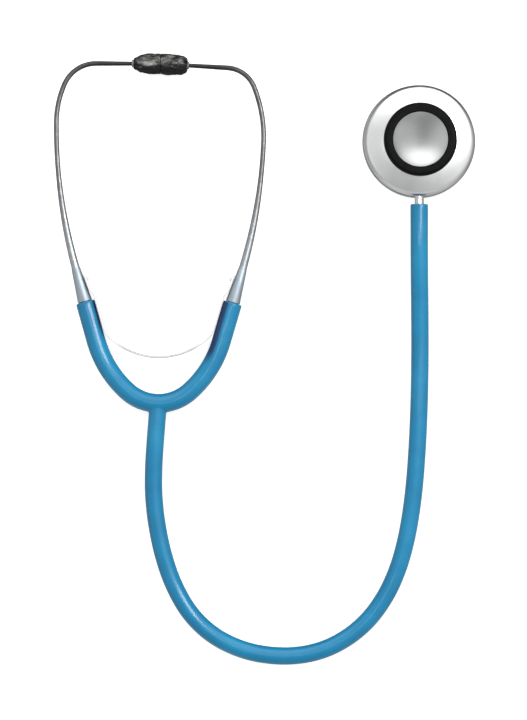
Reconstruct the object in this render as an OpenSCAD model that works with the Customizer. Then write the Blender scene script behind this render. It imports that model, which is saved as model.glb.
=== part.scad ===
// Toy stethoscope, laid flat: a blue Y-shaped yoke and hose, two sprung ear tubes and a two-sided chestpiece.
// The frame's origin is the middle of the diaphragm's face, on the table. +Z points up through the bell,
// and the hose leaves the chestpiece along -Y.

/* [Chestpiece] */
// Outer diameter of the rim that holds the diaphragm
rim_d = 45; // [36:0.5:60]
// Height of that rim
rim_h = 3.6; // [3:0.1:5]
// Thickness of the rim's lip under the diaphragm's edge
rim_lip_t = 0.9; // [0.6:0.1:1.5]
// Width of the rim's lip
rim_lip_w = 2.7; // [2.2:0.1:4]
// Wall of the rim
rim_wall = 1.1; // [0.8:0.1:1.4]
// Distance that the diaphragm's face stands out of the rim
diaphragm_proud = 0.3; // [0.1:0.05:0.6]
// Thickness of the diaphragm
diaphragm_t = 0.4; // [0.2:0.05:0.8]
// Thickness of the gasket behind the diaphragm
gasket_t = 0.5; // [0.3:0.1:1]
// Depth of the sound chamber behind the diaphragm
chamber_depth = 0.9; // [0.5:0.1:1.5]
// Radial step from the rim in to the drum's side
drum_step = 0.5; // [0.2:0.1:1]
// Rounding between the drum's side and its dome
drum_edge_r = 3.2; // [2:0.1:4.5]
// Radius of the dome's curve
dome_r = 32; // [27:0.5:45]
// Slope of the dome at its outer edge, in degrees
dome_slope = 24; // [20:1:30]
// Outer diameter of the bell's soft ring
bell_d = 29; // [24:0.5:32]
// Diameter of the bell's mouth inside that ring
bell_mouth_d = 21.6; // [18:0.2:23]
// Height of the bell's soft ring
bell_ring_h = 4.2; // [3.6:0.1:6]
// Depth of the bell's curved dish
dish_depth = 4.2; // [3.4:0.1:5.2]
// Thickness of the dish
dish_t = 0.6; // [0.4:0.1:1]
// Diameter of the sound hole in the dish
dish_hole_d = 0.8; // [0.6:0.1:2]

/* [Stem] */
// Outer diameter of the stem
stem_d = 3.6; // [3:0.1:4.4]
// Bore of the stem
stem_bore_d = 1.8; // [1.2:0.1:2]
// Length of stem that shows between the rim and the hose
stem_show = 2.7; // [1.5:0.1:5]
// Length of stem inside the hose
stem_grip = 11; // [8:0.5:14]
// Length of stem past the middle of the drum
stem_past = 3.6; // [2.5:0.1:6]

/* [Hose and yoke] */
// Outer diameter of the hose
hose_d = 7; // [6:0.1:8.5]
// Bore of the hose
hose_bore_d = 4.4; // [4.2:0.1:5]
// Outer diameter of the yoke's arms
arm_d = 7.6; // [6.8:0.1:9]
// Bore of the yoke's arms
arm_bore_d = 4.6; // [4:0.1:5]
// Radius of each arm's inner bend, at the bottom of the yoke
arm_bend_r = 18.6; // [15:0.2:24]
// Turn of that bend, in degrees
arm_bend_turn = 42; // [36:1:48]
// Radius of each arm's outer bend
arm_flare_r = 43; // [32:1:60]
// Turn of that bend, in degrees
arm_flare_turn = 32; // [26:1:36]
// Straight length of each arm below its mouth
arm_straight = 16; // [13:0.5:22]
// Length of the stub below the yoke's middle that the hose carries on from
stub_len = 9; // [7:0.5:14]
// Lean of that stub to the left, in degrees
stub_lean = 4; // [-6:0.5:6]
// Rounding between the stub and the arms
stub_fillet_r = 1.6; // [0.8:0.1:2]

/* [Leaf spring] */
// Thickness of the spring
spring_t = 0.9; // [0.6:0.05:1.2]
// Height of the spring's band
spring_h = 5; // [3.5:0.1:6]
// Radius of the bend where the spring leaves each arm
spring_knee_r = 10; // [7:0.5:12]
// Turn of the spring's bridge on each side of its middle, in degrees
spring_bow_turn = 42; // [36:1:48]
// Distance from each arm's mouth down to that bend
spring_leg = 11.5; // [9:0.5:13]
// Length of the spring's tab on each ferrule
spring_tab = 5.6; // [5:0.1:7]
// Diameter of the rivet in each tab
rivet_d = 1; // [0.8:0.1:1.2]

/* [Ferrules] */
// Diameter of each ferrule at the arm's mouth
ferrule_base_d = 5.8; // [5.4:0.1:6.4]
// Diameter of each ferrule where the ear tube enters
ferrule_top_d = 3.8; // [3.7:0.1:4.2]
// Length of each ferrule's taper
ferrule_len = 14; // [12.5:0.5:18]
// Length of each ferrule inside the arm
ferrule_grip = 9; // [6:0.5:12]
// Depth of the socket for the ear tube
ferrule_socket = 9; // [5:0.5:10]

/* [Ear tubes] */
// Diameter of each ear tube in its ferrule
tube_base_d = 3.3; // [3:0.05:3.5]
// Diameter of each ear tube along its bow
tube_d = 2; // [1.8:0.05:2.4]
// Diameter of each ear tube at its tip
tube_tip_d = 1.6; // [1.4:0.05:1.8]
// Bore of each ear tube
tube_bore_d = 0.9; // [0.6:0.05:1.1]
// Length of the taper from the ferrule up
tube_taper = 38; // [25:1:55]
// Radius of each ear tube's long bow
bow_r = 210; // [170:5:260]
// Turn of the left bow, in degrees
bow_turn = 16; // [13:0.5:18]
// Radius of the bend above the left bow
crown_r = 39.5; // [32:0.5:48]
// Turn of that bend, in degrees
crown_turn = 23; // [18:1:28]
// Radius of the left shoulder, which turns the tube inwards
shoulder_r = 13.7; // [10:0.1:17]
// Turn of the right bow, in degrees
right_bow_turn = 14; // [12.5:0.5:15.5]
// Radius of the bend above the right bow
right_crown_r = 54; // [46:1:62]
// Turn of that bend, in degrees
right_crown_turn = 24; // [20:1:27]
// Dip of the right ear tube from its tip outwards, in degrees
right_dip = 3; // [0:0.5:4]

/* [Ear tips] */
// Length of each ear tip
tip_len = 10.45; // [8.5:0.05:13]
// Diameter of each ear tip
tip_d = 8.6; // [8:0.1:11]
// Diameter of the sound hole in each ear tip
tip_hole_d = 1.4; // [1:0.1:1.8]
// Gap between the two ear tips at rest
tip_gap = 0.5; // [0.3:0.05:1]
// Outer diameter of the sleeve in each ear tip
sleeve_d = 3; // [2.6:0.1:3.4]
// Length of sleeve inside the ear tip
sleeve_grip = 6; // [4.5:0.5:7]
// Length of sleeve that shows
sleeve_show = 0.7; // [0.5:0.1:2]

/* [Layout] */
// Place of the yoke's middle across the table
headset_x = -104; // [-130:1:-90]
// Place of the yoke's middle along the table
headset_y = -104.5; // [-130:0.5:-80]
// Turn of the yoke and ear tubes on the table, in degrees
headset_turn = -0.4; // [-3:0.1:3]

/* [Hidden] */
$fn = 64;

// Shared clearances, and the overrun of every cut
fit_gap = 0.1;
run_gap = 0.05;
seat_gap = 0.05;
overrun = 1;

// Sides of a swept tube and of an arm, and the most that they turn between two rings
tube_sides = 12;
arm_sides = 24;
ring_turn = 4;
arc_steps = 10;

LEFT = 1;
RIGHT = 0;

// Chestpiece: radii outwards and heights upwards
rim_r = rim_d / 2;
rim_edge_share = 0.6;
rim_edge_r = rim_wall * rim_edge_share;
lip_r = rim_r - rim_lip_w;
seat_r = rim_r - rim_wall - fit_gap;
drum_r = rim_r - drum_step;
flange_z = diaphragm_proud + rim_lip_t;
gasket_z = flange_z + diaphragm_t;
drum_z = gasket_z + gasket_t;
rim_top = diaphragm_proud + rim_h;
face_r = lip_r - rim_lip_t;

// Height of the stem's axis, with a web of drum between it and the rim, and a wall over it
stem_r = stem_d / 2;
drum_bore_r = stem_r + run_gap;
drum_web = 0.9;
drum_wall = 1;
stem_z = rim_top + seat_gap + drum_web + drum_bore_r;
side_top = stem_z + drum_bore_r + drum_wall;

// Dome: an edge round, then a wide arc up to the neck under the bell
neck_in = 1.7;
neck_r = bell_d / 2 - neck_in;
neck_h = 0.6;
edge_c = [drum_r - drum_edge_r, side_top];
dome_from = 90 - dome_slope;
dome_c = edge_c + (drum_edge_r - dome_r) * [cos(dome_from), sin(dome_from)];
dome_to = acos((neck_r - dome_c.x) / dome_r);
neck_z = dome_c.y + dome_r * sin(dome_to);

// Bell: a lipped wall that the soft ring snaps over, and a thin dish in it
bell_lip_w = 0.7;
bell_lip_h = 1.4;
bell_cover = 0.5;
bell_round_share = 0.35;
bell_z = neck_z + neck_h;
bell_top = bell_z + bell_ring_h;
dish_flange = bell_top - bell_cover;
wall_top = dish_flange - dish_t;
dish_r = bell_mouth_d / 2 + bell_cover;
dish_low = wall_top - dish_depth;
// The dish's seat is an arc through its lowest point and its edge, and the dish follows it
dish_seat_r = (dish_r ^ 2 + dish_depth ^ 2) / (2 * dish_depth);
dish_c = [0, dish_low + dish_seat_r];
dish_face_r = dish_seat_r - dish_t;

// Stem: distances outwards from the middle of the drum
hose_end = rim_r + stem_show;
stem_end = hose_end + stem_grip;
barb_count = 3;
barb_out = 0.25;
barb_lead = 1;
clip_at = 6;
clip_t = 0.5;
clip_in = 0.5;
clip_out = 1.1;
pocket_w = clip_t + 4 * fit_gap;
pocket_r = stem_r + clip_out + 2 * fit_gap;
ring_at = 14;
ring_t = 0.66;

// Yoke: poses are [x, y, heading] on the right side, in the headset's own frame
hose_r = hose_d / 2;
arm_r = arm_d / 2;
arm_z = arm_r;
junction_turn = 20;
overrun_turn = overrun / arm_bend_r * 180 / PI;
arm_bottom = [0, 0, 0];
arm_knee = along(arm_bottom, [arm_bend_r, arm_bend_turn], 1);
arm_flared = along(arm_knee, [arm_flare_r, arm_flare_turn], 1);
arm_mouth = along(arm_flared, [0, arm_straight], 1);
arm_turn = arm_mouth[2];

// Ferrule and ear tube
ferrule_base_r = ferrule_base_d / 2;
ferrule_top_r = ferrule_top_d / 2;
ferrule_slope = atan((ferrule_base_r - ferrule_top_r) / ferrule_len);
tube_start = along(arm_mouth, [0, ferrule_len - ferrule_socket], 1);
shoulder_turn = 180 - arm_turn - bow_turn - crown_turn;
left_bends = [[0, ferrule_socket], [bow_r, bow_turn], [crown_r, crown_turn], [shoulder_r, shoulder_turn]];
tip_y = last(walk(tube_start, left_bends)).y;
// The right shoulder brings its tube onto the line of its tip, which dips from the tips' meeting point
right_rise = [[0, ferrule_socket], [bow_r, right_bow_turn], [right_crown_r, right_crown_turn]];
right_crown = last(walk(tube_start, right_rise));
right_to = 180 - right_dip;
right_shoulder_r = (tip_y - right_crown.y - right_crown.x * tan(right_dip))
  / (cos(right_crown[2]) - cos(right_to) + (sin(right_to) - sin(right_crown[2])) * tan(right_dip));
right_bends = concat(right_rise, [[right_shoulder_r, right_to - right_crown[2]]]);

// Ear tip: distances out from the tips' meeting point
tip_face = tip_gap / 2;
tip_root = tip_face + tip_len;
tube_grip = sleeve_grip - sleeve_show;
tube_end = tip_root - tube_grip;
tip_z = tip_d / 2;
// Outline of an ear tip, from the tube to the face, as [along, radius]
tip_shares = [
  [0, 0.46], [0.03, 0.53], [0.1, 0.61], [0.2, 0.72], [0.32, 0.84], [0.45, 0.93],
  [0.6, 0.99], [0.75, 1], [0.9, 0.98], [0.97, 0.93], [1, 0.84]
];

// Leaf spring: its right half from the middle of the bridge up to the ferrule
spring_off = arm_r + 2 * fit_gap + spring_t / 2;
spring_hip = shift(along(arm_mouth, [0, -spring_leg], 1), spring_off);
spring_bow_r = spring_knee_r + (spring_hip.x - spring_knee_r * sin(arm_turn)) / sin(spring_bow_turn);
spring_low = spring_hip.y - spring_bow_r * (1 - cos(spring_bow_turn))
  - spring_knee_r * (cos(spring_bow_turn) - cos(arm_turn));
// The bend out over the arm's mouth, and back along the ferrule's side
jog_over = 1;
jog_r = 3;
jog_turn = 25;
jog_along = jog_over + jog_r * (2 * sin(jog_turn) - sin(ferrule_slope));
jog_out = jog_r * (1 + cos(ferrule_slope) - 2 * cos(jog_turn));
tab_off = ferrule_base_r - jog_along * tan(ferrule_slope) + (fit_gap + spring_t / 2) / cos(ferrule_slope);
jog_run = (spring_off - jog_out - tab_off) / (sin(jog_turn) - cos(jog_turn) * tan(ferrule_slope));
spring_moves = [
  [spring_bow_r, spring_bow_turn], [spring_knee_r, arm_turn - spring_bow_turn],
  [0, spring_leg + jog_over], [jog_r, -jog_turn], [0, jog_run], [jog_r, jog_turn - ferrule_slope],
  [0, spring_tab]
];
spring_half = walk([0, spring_low, 0], spring_moves);
spring_path = concat(
  [for (i = [len(spring_half) - 1:-1:0]) let (p = spring_half[i]) [-p.x, p.y, -p[2]]],
  [[0, spring_low, 0]],
  spring_half
);
rivet_from_end = 2;
rivet_pose = along(last(spring_half), [0, -rivet_from_end], 1);
rivet_head_share = 0.8;
rivet_head_r = rivet_d * rivet_head_share;
rivet_head_t = 0.35;
rivet_depth = 0.4;

// Hose: from the yoke's stub, over the table and up to the stem, chosen by hand
stub_end = place(-stub_len * [sin(stub_lean), cos(stub_lean)]);
stub_past = place(-(stub_len + hose_d) * [sin(stub_lean), cos(stub_lean)]);
hose_route = [
  [stub_end.x, stub_end.y, arm_z], [stub_past.x, stub_past.y, arm_z],
  [-105.8, -130, 3.6], [-105.8, -141, 3.5], [-104.5, -153, 3.5], [-101.8, -165.5, 3.5],
  [-97.5, -177.5, 3.5], [-91, -188.5, 3.5], [-82, -197, 3.5], [-71, -202.5, 3.5],
  [-59.5, -205, 3.5], [-48, -205, 3.5],
  [-37.5, -202.5, 3.5], [-28, -197.5, 3.5], [-20, -190.5, 3.5], [-13.5, -181.5, 3.5],
  [-8.8, -171.5, 3.5], [-5.5, -160.5, 3.5], [-3.3, -149, 3.5], [-1.8, -137, 3.5],
  [-0.8, -124, 3.5], [-0.1, -110, 3.5], [0.3, -95, 3.5], [0.4, -80, 3.7],
  [0.3, -66, 4.5], [0.1, -53, 5.8], [0, -41, stem_z], [0, -hose_end, stem_z]
];

// Geometry helpers

// Last item of a list
function last(list) = list[len(list) - 1];

// Points of an arc about c, for an outline
function arc(c, r, from, to) =
  [for (i = [0:arc_steps]) let (a = from + (to - from) * i / arc_steps) c + r * [cos(a), sin(a)]];

// Pose after a share of one move: [radius, turn] bends, left if positive, and [0, length] goes straight
function along(pose, move, share) =
  let (h = pose[2], side = sign(move[1]), to = h + move[1] * share, r = side * move[0])
  move[0] == 0
    ? [pose.x + cos(h) * move[1] * share, pose.y + sin(h) * move[1] * share, h]
    : [pose.x + r * (sin(to) - sin(h)), pose.y + r * (cos(h) - cos(to)), to];

// Poses after each step of a list of moves
function walk(pose, moves, i = 0) =
  i == len(moves) ? [] :
  let (steps = moves[i][0] == 0 ? 1 : ceil(abs(moves[i][1]) / ring_turn))
  concat(
    [for (k = [1:steps]) along(pose, moves[i], k / steps)],
    walk(along(pose, moves[i], 1), moves, i + 1)
  );

// Pose moved sideways, to its left if positive
function shift(pose, by) = [pose.x - sin(pose[2]) * by, pose.y + cos(pose[2]) * by, pose[2]];

// Pose on an ear tip's axis, facing its face, at a distance out from the tips' meeting point
function tip_pose(out, side) =
  let (dip = side == LEFT ? 0 : right_dip)
  [out * cos(dip), tip_y - out * sin(dip), 180 - dip];

// Point of the headset's frame on the table
function place(p) =
  [headset_x, headset_y]
  + [cos(headset_turn) * p.x - sin(headset_turn) * p.y, sin(headset_turn) * p.x + cos(headset_turn) * p.y];

// Distance travelled along a list of points, at each point
function travel(points, i = 0, s = 0) =
  i == len(points) - 1
    ? [s]
    : concat([s], travel(points, i + 1, s + norm(points[i + 1] - points[i])));

// Heading of a list of points at one of them
function heading(points, i) =
  let (d = points[min(i + 1, len(points) - 1)] - points[max(i - 1, 0)])
  atan2(d.y, d.x);

// Closed outline of a band of width w along poses
function band(poses, w) = concat(
  [for (p = poses) let (q = shift(p, w / 2)) [q.x, q.y]],
  [for (i = [len(poses) - 1:-1:0]) let (q = shift(poses[i], -w / 2)) [q.x, q.y]]
);

// Hollow tube swept along points, with a heading and an outer radius at each
module swept_tube(points, headings, radii, bore_r, sides) {
  n = len(points);
  corners = [
    for (wall = [0, 1], i = [0:n - 1], k = [0:sides - 1])
      let (a = k * 360 / sides, r = wall == 0 ? radii[i] : bore_r)
      points[i] + r * [-sin(headings[i]) * cos(a), cos(headings[i]) * cos(a), sin(a)]
  ];
  function at(wall, i, k) = (wall * n + i) * sides + k % sides;
  outside = [
    for (i = [0:n - 2], k = [0:sides - 1])
      each [
        [at(0, i, k), at(0, i + 1, k), at(0, i, k + 1)],
        [at(0, i, k + 1), at(0, i + 1, k), at(0, i + 1, k + 1)]
      ]
  ];
  inside = [
    for (i = [0:n - 2], k = [0:sides - 1])
      each [
        [at(1, i, k), at(1, i, k + 1), at(1, i + 1, k)],
        [at(1, i, k + 1), at(1, i + 1, k + 1), at(1, i + 1, k)]
      ]
  ];
  first_end = [
    for (k = [0:sides - 1])
      each [
        [at(0, 0, k), at(0, 0, k + 1), at(1, 0, k)],
        [at(0, 0, k + 1), at(1, 0, k + 1), at(1, 0, k)]
      ]
  ];
  last_end = [
    for (k = [0:sides - 1])
      each [
        [at(0, n - 1, k), at(1, n - 1, k), at(0, n - 1, k + 1)],
        [at(0, n - 1, k + 1), at(1, n - 1, k), at(1, n - 1, k + 1)]
      ]
  ];
  polyhedron(corners, concat(outside, inside, first_end, last_end));
}

// Puts a piece of the right side on the table, mirrored for the left side
module headset(side = RIGHT) {
  translate([headset_x, headset_y, 0])
    rotate(headset_turn)
      mirror([side, 0, 0])
        children();
}

// Stands a piece that is drawn along +Z on a pose, with +Z along the heading
module on_pose(pose, z) {
  translate([pose.x, pose.y, z])
    rotate([0, 90, pose[2]])
      children();
}

// Lays a piece that is drawn along +Z out from the middle of the drum, along the stem's axis
module on_stem() {
  translate([0, 0, stem_z])
    rotate([90, 0, 0])
      children();
}

// Chestpiece

module drum_body() {
  outline = concat(
    [[0, drum_z + chamber_depth], [lip_r, drum_z], [seat_r, drum_z]],
    [[seat_r, rim_top + seat_gap], [drum_r, rim_top + seat_gap]],
    arc(edge_c, drum_edge_r, 0, dome_from),
    arc(dome_c, dome_r, dome_from, dome_to),
    [[neck_r, bell_z + bell_lip_w], [neck_r + bell_lip_w, bell_z + 2 * bell_lip_w]],
    [[neck_r + bell_lip_w, bell_z + bell_lip_w + bell_lip_h], [neck_r, wall_top]],
    arc(dish_c, dish_seat_r, -acos(dish_r / dish_seat_r), -90)
  );
  color("silver")
    difference() {
      rotate_extrude() polygon(outline);
      on_stem() translate([0, 0, -stem_past - fit_gap]) cylinder(r = drum_bore_r, h = stem_past + rim_d);
      on_stem() translate([0, 0, clip_at - pocket_w / 2]) cylinder(r = pocket_r, h = pocket_w);
      translate([-pocket_r, -clip_at - pocket_w / 2, drum_z])
        cube([2 * pocket_r, pocket_w, stem_z - drum_z]);
      translate([0, 0, drum_z]) cylinder(d = dish_hole_d, h = bell_top);
    }
}

module bell_cup() {
  edge_r = neck_r - bell_cover;
  hole_r = dish_hole_d / 2;
  outline = concat(
    arc(dish_c + [0, seat_gap], dish_seat_r, -acos(hole_r / dish_seat_r), -acos(dish_r / dish_seat_r)),
    [[edge_r, wall_top + seat_gap], [edge_r, dish_flange]],
    arc(dish_c, dish_face_r, asin((dish_flange - dish_c.y) / dish_face_r), -acos(hole_r / dish_face_r))
  );
  color("gainsboro")
    rotate_extrude()
      polygon(outline);
}

module bell_ring() {
  out_r = bell_d / 2;
  mouth_r = bell_mouth_d / 2;
  round_r = bell_ring_h * bell_round_share;
  low = bell_z + seat_gap;
  lip_low = bell_z + 2 * bell_lip_w;
  outline = concat(
    [[neck_r + fit_gap, low], [out_r - bell_lip_w, low], [out_r, bell_z + bell_lip_w]],
    arc([out_r - round_r, bell_top - round_r], round_r, 0, 90),
    [[mouth_r + bell_cover, bell_top], [mouth_r, dish_flange + seat_gap]],
    [[neck_r, dish_flange + seat_gap], [neck_r + fit_gap, wall_top]],
    [[neck_r + bell_lip_w + fit_gap, lip_low - bell_lip_w + bell_lip_h]],
    [[neck_r + bell_lip_w + fit_gap, lip_low], [neck_r + fit_gap, bell_z + bell_lip_w]]
  );
  color("black")
    rotate_extrude()
      polygon(outline);
}

module diaphragm() {
  outline = [
    [0, 0], [face_r, 0], [lip_r - 2 * fit_gap - diaphragm_t, flange_z + seat_gap],
    [seat_r - fit_gap, flange_z + seat_gap], [seat_r - fit_gap, gasket_z],
    [lip_r - 2 * fit_gap - 2 * diaphragm_t, gasket_z], [face_r - diaphragm_t, diaphragm_t], [0, diaphragm_t]
  ];
  color("whitesmoke")
    rotate_extrude()
      polygon(outline);
}

module diaphragm_gasket() {
  color("dimgray")
    translate([0, 0, gasket_z + seat_gap])
      difference() {
        cylinder(r = seat_r - fit_gap, h = gasket_t - 2 * seat_gap);
        translate([0, 0, -overrun]) cylinder(r = lip_r, h = gasket_t + 2 * overrun);
      }
}

module diaphragm_rim() {
  low = diaphragm_proud;
  outline = concat(
    [[lip_r, flange_z], [lip_r, low]],
    arc([rim_r - rim_edge_r, low + rim_edge_r], rim_edge_r, -90, 0),
    arc([rim_r - rim_edge_r, rim_top - rim_edge_r], rim_edge_r, 0, 90),
    [[rim_r - rim_wall, rim_top], [rim_r - rim_wall, flange_z]]
  );
  color("lightgray")
    rotate_extrude()
      polygon(outline);
}

// Stem and what holds it

module stem() {
  barb_len = (stem_grip - barb_lead) / barb_count;
  function groove(at, depth, w) = [
    [stem_r, at - w / 2], [stem_r - depth, at - w / 2],
    [stem_r - depth, at + w / 2], [stem_r, at + w / 2]
  ];
  outline = concat(
    [[0, -stem_past], [stem_r, -stem_past]],
    groove(clip_at, clip_in, clip_t + 2 * fit_gap),
    groove(ring_at, ring_t, ring_t + 2 * fit_gap),
    [
      for (i = [0:barb_count - 1])
        let (at = hose_end + barb_lead + barb_len * i)
        each [[stem_r, at], [stem_r + barb_out, at]]
    ],
    [[stem_r, stem_end], [0, stem_end]]
  );
  color("lightgray")
    difference() {
      on_stem() rotate_extrude() polygon(outline);
      on_stem() cylinder(d = stem_bore_d, h = stem_end + overrun);
      translate([0, 0, stem_z]) cylinder(d = stem_bore_d, h = stem_d);
    }
}

module stem_o_ring() {
  color("black")
    on_stem()
      translate([0, 0, ring_at])
        rotate_extrude()
          translate([stem_r - ring_t / 2 + run_gap / 2, 0])
            circle(d = ring_t);
}

module stem_clip() {
  grip_r = stem_r - clip_in + run_gap;
  color("gray")
    on_stem()
      translate([0, 0, clip_at - clip_t / 2])
        difference() {
          cylinder(r = stem_r + clip_out, h = clip_t);
          translate([0, 0, -overrun]) cylinder(r = grip_r, h = clip_t + 2 * overrun);
          translate([-grip_r, 0, -overrun]) cube([2 * grip_r, stem_d, clip_t + 2 * overrun]);
        }
}

// Hose and yoke

module hose() {
  color("steelblue")
    swept_tube(
      hose_route,
      [for (i = [0:len(hose_route) - 1]) heading(hose_route, i)],
      [for (p = hose_route) hose_r],
      hose_bore_d / 2,
      tube_sides
    );
}

module yoke_junction() {
  low = arm_r + stub_fillet_r;
  fillet = concat(
    [[0, 0], [hose_r + stub_fillet_r, 0]],
    arc([hose_r + stub_fillet_r, low], stub_fillet_r, -90, -180),
    [[0, low]]
  );
  color("steelblue")
    headset()
      translate([0, 0, arm_z])
        difference() {
          union() {
            junction_bar(arm_r, junction_turn);
            on_stub() cylinder(r = hose_r, h = stub_len);
            intersection() {
              on_stub() rotate_extrude() polygon(fillet);
              translate([-arm_d, -arm_d, -arm_r]) cube([2 * arm_d, 2 * arm_d, arm_d]);
            }
          }
          junction_bar(arm_bore_d / 2, junction_turn + overrun_turn);
          on_stub() cylinder(d = hose_bore_d, h = stub_len + overrun);
        }
}

// Turns a piece that is drawn along +Z down the stub's axis
module on_stub() {
  rotate([90, 0, -stub_lean])
    children();
}

// Round bar along the bottom of the yoke, to both sides of its middle
module junction_bar(bar_r, turn) {
  translate([0, arm_bend_r, 0])
    rotate(-90 - turn)
      rotate_extrude(angle = 2 * turn)
        translate([arm_bend_r, 0])
          circle(bar_r);
}

module yoke_arm() {
  start = along(arm_bottom, [arm_bend_r, junction_turn], 1);
  moves = [[arm_bend_r, arm_bend_turn - junction_turn], [arm_flare_r, arm_flare_turn], [0, arm_straight]];
  poses = concat([start], walk(start, moves));
  color("steelblue")
    swept_tube(
      [for (p = poses) [p.x, p.y, arm_z]],
      [for (p = poses) p[2]],
      [for (p = poses) arm_r],
      arm_bore_d / 2,
      arm_sides
    );
}

module leaf_spring() {
  color("gainsboro")
    headset()
      difference() {
        translate([0, 0, arm_z - spring_h / 2])
          linear_extrude(spring_h)
            polygon(band(spring_path, spring_t));
        for (side = [LEFT, RIGHT])
          mirror([side, 0, 0])
            on_rivet() translate([0, 0, -spring_t]) cylinder(d = rivet_d + 2 * fit_gap, h = 2 * spring_t);
      }
}

// Turns a piece that is drawn along +Z to the rivet's axis, out of the ferrule through the spring's tab
module on_rivet() {
  on_pose(rivet_pose, arm_z)
    rotate([-90, 0, 0])
      children();
}

// Ear pieces, drawn on the right side

module ferrule() {
  sound_r = tube_bore_d / 2;
  socket_r = tube_base_d / 2 + run_gap;
  socket_low = ferrule_len - ferrule_socket;
  grip_r = arm_bore_d / 2 - fit_gap;
  outline = [
    [sound_r, -ferrule_grip], [grip_r, -ferrule_grip], [grip_r, fit_gap], [ferrule_base_r, fit_gap],
    [ferrule_top_r, ferrule_len], [socket_r, ferrule_len], [socket_r, socket_low], [sound_r, socket_low]
  ];
  color("silver")
    difference() {
      on_pose(arm_mouth, arm_z) rotate_extrude() polygon(outline);
      on_rivet()
        translate([0, 0, -spring_t / 2 - fit_gap - rivet_depth])
          cylinder(d = rivet_d + 2 * run_gap, h = rivet_depth + spring_t);
    }
}

module spring_rivet() {
  back = spring_t / 2 + fit_gap + rivet_depth;
  color("silver")
    on_rivet() {
      translate([0, 0, -back]) cylinder(d = rivet_d, h = back + spring_t / 2 + fit_gap);
      translate([0, 0, spring_t / 2 + fit_gap]) cylinder(r = rivet_head_r, h = rivet_head_t);
    }
}

module ear_tube(side) {
  bent = walk(tube_start, side == LEFT ? left_bends : right_bends);
  sleeve_mouth = tip_root + 2 * sleeve_show;
  poses = concat([tube_start], bent, [tip_pose(sleeve_mouth, side), tip_pose(tube_end, side)]);
  run = travel([for (p = poses) [p.x, p.y]]);
  level = last(run) - (sleeve_mouth - tube_end);
  rise = [[ferrule_socket, arm_z], [level, tip_z]];
  taper = [
    [ferrule_socket, tube_base_d / 2], [ferrule_socket + tube_taper, tube_d / 2],
    [run[len(bent)], tube_d / 2], [level, tube_tip_d / 2]
  ];
  color("darkgray")
    swept_tube(
      [for (i = [0:len(poses) - 1]) [poses[i].x, poses[i].y, lookup(run[i], rise)]],
      [for (p = poses) p[2]],
      [for (s = run) lookup(s, taper)],
      tube_bore_d / 2,
      tube_sides
    );
}

// Lays a piece that is drawn along +Z on the ear tip's axis, from a distance out towards the middle
module on_tip(out, side) {
  on_pose(tip_pose(out, side), tip_z)
    children();
}

module tip_sleeve(side) {
  color("gainsboro")
    on_tip(tip_root + sleeve_show, side)
      difference() {
        cylinder(d = sleeve_d, h = sleeve_show + sleeve_grip);
        translate([0, 0, -overrun])
          cylinder(d = tube_tip_d + 2 * run_gap, h = sleeve_show + tube_grip + overrun + run_gap);
        cylinder(d = tip_hole_d, h = sleeve_show + sleeve_grip + overrun);
      }
}

module ear_tip(side) {
  outline = [for (s = tip_shares) [s[1] * tip_d / 2, s[0] * tip_len]];
  color("black")
    on_tip(tip_root, side)
      difference() {
        rotate_extrude() polygon(concat([[0, 0]], outline, [[0, tip_len]]));
        translate([0, 0, -overrun])
          cylinder(d = sleeve_d + 2 * run_gap, h = sleeve_grip + overrun + run_gap);
        cylinder(d = tip_hole_d, h = tip_len + overrun);
      }
}

drum_body();
bell_cup();
bell_ring();
diaphragm();
diaphragm_gasket();
diaphragm_rim();
stem();
stem_o_ring();
stem_clip();
hose();
yoke_junction();
headset(LEFT) yoke_arm();  // left_yoke_arm
headset(RIGHT) yoke_arm();  // right_yoke_arm
leaf_spring();
headset(LEFT) ferrule();  // left_ferrule
headset(RIGHT) ferrule();  // right_ferrule
headset(LEFT) spring_rivet();  // left_spring_rivet
headset(RIGHT) spring_rivet();  // right_spring_rivet
headset(LEFT) ear_tube(LEFT);  // left_ear_tube
headset(RIGHT) ear_tube(RIGHT);  // right_ear_tube
headset(LEFT) tip_sleeve(LEFT);  // left_tip_sleeve
headset(RIGHT) tip_sleeve(RIGHT);  // right_tip_sleeve
headset(LEFT) ear_tip(LEFT);  // left_ear_tip
headset(RIGHT) ear_tip(RIGHT);  // right_ear_tip
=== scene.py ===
"""Looks of the toy stethoscope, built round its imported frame. Lengths are in metres."""

import bisect
import math

import bmesh
import bpy
from mathutils import Matrix, Vector, noise


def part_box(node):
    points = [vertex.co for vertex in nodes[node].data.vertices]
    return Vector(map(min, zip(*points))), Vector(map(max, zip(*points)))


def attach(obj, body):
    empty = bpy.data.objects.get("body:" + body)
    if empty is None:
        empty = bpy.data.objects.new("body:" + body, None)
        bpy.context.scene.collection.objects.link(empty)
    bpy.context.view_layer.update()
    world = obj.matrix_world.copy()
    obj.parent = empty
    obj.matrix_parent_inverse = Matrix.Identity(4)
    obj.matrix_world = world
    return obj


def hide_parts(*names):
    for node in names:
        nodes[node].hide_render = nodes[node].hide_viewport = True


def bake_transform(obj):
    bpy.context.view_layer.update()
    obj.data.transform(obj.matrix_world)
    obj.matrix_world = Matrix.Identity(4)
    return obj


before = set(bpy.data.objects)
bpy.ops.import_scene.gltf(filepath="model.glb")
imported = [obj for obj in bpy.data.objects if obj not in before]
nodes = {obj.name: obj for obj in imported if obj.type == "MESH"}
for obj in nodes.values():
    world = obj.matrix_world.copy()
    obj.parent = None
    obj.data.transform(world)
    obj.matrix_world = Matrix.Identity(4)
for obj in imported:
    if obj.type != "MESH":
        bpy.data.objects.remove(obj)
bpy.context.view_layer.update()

# The photo's frame: its size in pixels, the table's scale, and the chestpiece's middle, which is the origin
PHOTO_W = 527
PHOTO_H = 720
PIXEL = 0.0004
CHEST_PIXEL = (418.5, 142)
CAMERA_H = 1.4
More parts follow.
